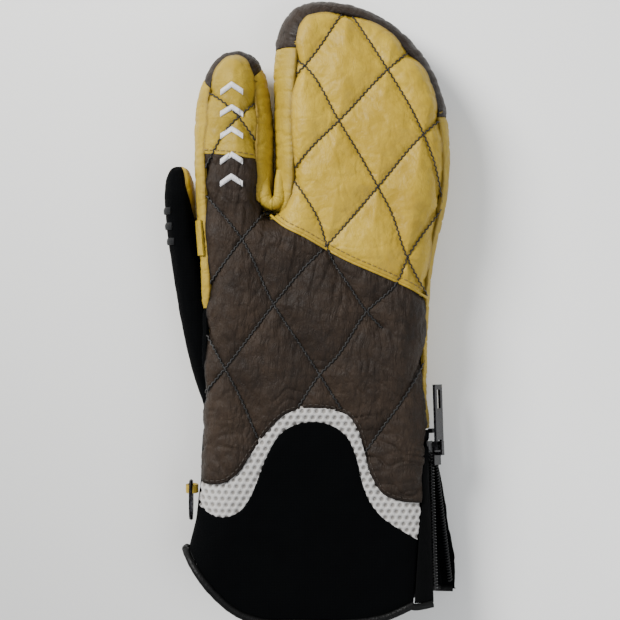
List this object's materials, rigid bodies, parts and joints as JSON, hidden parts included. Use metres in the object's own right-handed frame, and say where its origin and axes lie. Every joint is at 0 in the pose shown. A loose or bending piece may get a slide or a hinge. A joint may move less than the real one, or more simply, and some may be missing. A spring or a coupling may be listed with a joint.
{
  "type": "three-compartment trigger mitten",
  "caption": "Right-hand insulated trigger mitten lying palm down: separate index finger, hood for the other fingers, thumb, short zipped stretch cuff.",
  "frame": {"origin": "centre of the footprint on the surface the palm rests on", "axes": "+Y towards the fingertips, +X towards the little finger, +Z out of the back of the hand"},
  "size_m": [0.1356, 0.2872, 0.0391],
  "materials": {
    "tan_leather": "smooth full-grain goatskin, soft sheen",
    "tan_palm_leather": "matte palm leather",
    "brown_leather": "creased dark brown leather",
    "cap_leather": "dark brown leather tip caps",
    "white_spacer_mesh": "white spacer mesh and satin stitch",
    "black_softshell": "matte black stretch fabric",
    "grey_rubber": "dark grey grip bars",
    "black_nickel": "black nickel",
    "black_plastic": "moulded zip chain",
    "grey_fleece": "brushed fleece lining"
  },
  "bodies": {
    "hand": {"brown_back_panel": "brown_leather", "cuff_back_panel": "black_softshell", "cuff_palm_panel": "black_softshell", "hand_lining_back": "grey_fleece", "hand_lining_palm": "grey_fleece", "hang_loop": "tan_leather", "hem_binding_back": "black_softshell", "hem_binding_palm": "black_softshell", "hood_knuckle_fold": "tan_leather", "index_knuckle_fold": "brown_leather", "little_finger_side_strip": "tan_leather", "palm_grip_patch": "brown_leather", "palm_panel": "tan_palm_leather", "side_strap_tab": "tan_leather", "tan_knuckle_panel": "tan_leather", "thumb_fourchette": "tan_palm_leather", "thumb_root_fold": "tan_palm_leather", "thumb_side_strip": "tan_leather", "thumb_web_gusset": "tan_palm_leather", "wrist_mesh_insert": "white_spacer_mesh", "zip_gusset": "black_softshell", "zip_tape_back": "black_softshell", "zip_teeth_back": "black_plastic", "zip_top_stop": "black_nickel"},
    "index": {"index_back_lower": "brown_leather", "index_back_upper": "tan_leather", "index_chevron_1": "white_spacer_mesh", "index_chevron_2": "white_spacer_mesh", "index_chevron_3": "white_spacer_mesh", "index_chevron_4": "white_spacer_mesh", "index_chevron_5": "white_spacer_mesh", "index_inner_sidewall": "tan_leather", "index_lining_back": "grey_fleece", "index_lining_palm": "grey_fleece", "index_outer_sidewall": "tan_leather", "index_palm_panel": "tan_palm_leather", "index_tip_cap": "cap_leather"},
    "hood": {"hood_back_panel": "tan_leather", "hood_inner_sidewall": "tan_leather", "hood_lining_back": "grey_fleece", "hood_lining_palm": "grey_fleece", "hood_outer_sidewall": "tan_leather", "hood_palm_panel": "tan_palm_leather", "hood_tip_cap": "cap_leather"},
    "thumb": {"thumb_back_panel": "black_softshell", "thumb_grip_bar_1": "grey_rubber", "thumb_grip_bar_2": "grey_rubber", "thumb_grip_bar_3": "grey_rubber", "thumb_lining_back": "grey_fleece", "thumb_lining_palm": "grey_fleece", "thumb_palm_panel": "tan_palm_leather"},
    "zip_slider": {"zip_slider": "black_nickel"},
    "zip_pull": {"zip_pull_tab": "black_nickel"},
    "cuff_flap": {"zip_tape_palm": "black_softshell", "zip_teeth_palm": "black_plastic"},
    "ring": {"pairing_ring": "black_nickel"}
  },
  "joints": [
    {"name": "index_flex", "type": "hinge", "parent": "hand", "child": "index", "pos_m": [-0.03468, 0.04955, 0.0189], "axis": [-1, 0, 0], "range_deg": [-16, 62], "deforming": ["index_knuckle_fold"]},
    {"name": "hood_flex", "type": "hinge", "parent": "hand", "child": "hood", "pos_m": [0.02312, 0.04955, 0.0189], "axis": [-1, 0, 0], "range_deg": [-16, 62], "deforming": ["hood_knuckle_fold"]},
    {"name": "thumb_abduct", "type": "hinge", "parent": "hand", "child": "thumb", "pos_m": [-0.04988, -0.02945, 0.0129], "axis": [0, 0, 1], "range_deg": [0, 42], "deforming": ["thumb_root_fold", "thumb_web_gusset"]},
    {"name": "zip_slide", "type": "slide", "parent": "hand", "child": "zip_slider", "axis": [0.0289, -0.9986, 0.0434], "range_m": [0, 0.062]},
    {"name": "zip_pull_hinge", "type": "hinge", "parent": "zip_slider", "child": "zip_pull", "pos_m": [0.0599, -0.06299, 0.02168], "axis": [0.5032, -0.023, -0.8639], "range_deg": [0, 165]},
    {"name": "cuff_flap_hinge", "type": "hinge", "parent": "hand", "child": "cuff_flap", "pos_m": [0.05692, -0.06145, 0.0199], "axis": [-0.8637, -0.0469, -0.5019], "range_deg": [0, 11.15], "deforming": ["zip_gusset"]},
    {"name": "pairing_ring_hinge", "type": "hinge", "parent": "hand", "child": "ring", "pos_m": [-0.05438, -0.08195, 0.0203], "axis": [1, 0, 0], "range_deg": [-20, 35]}
  ],
  "couplings": [
    {"joint": "cuff_flap_hinge", "follows": "zip_slide", "rad_per_m": 3.1235}
  ]
}
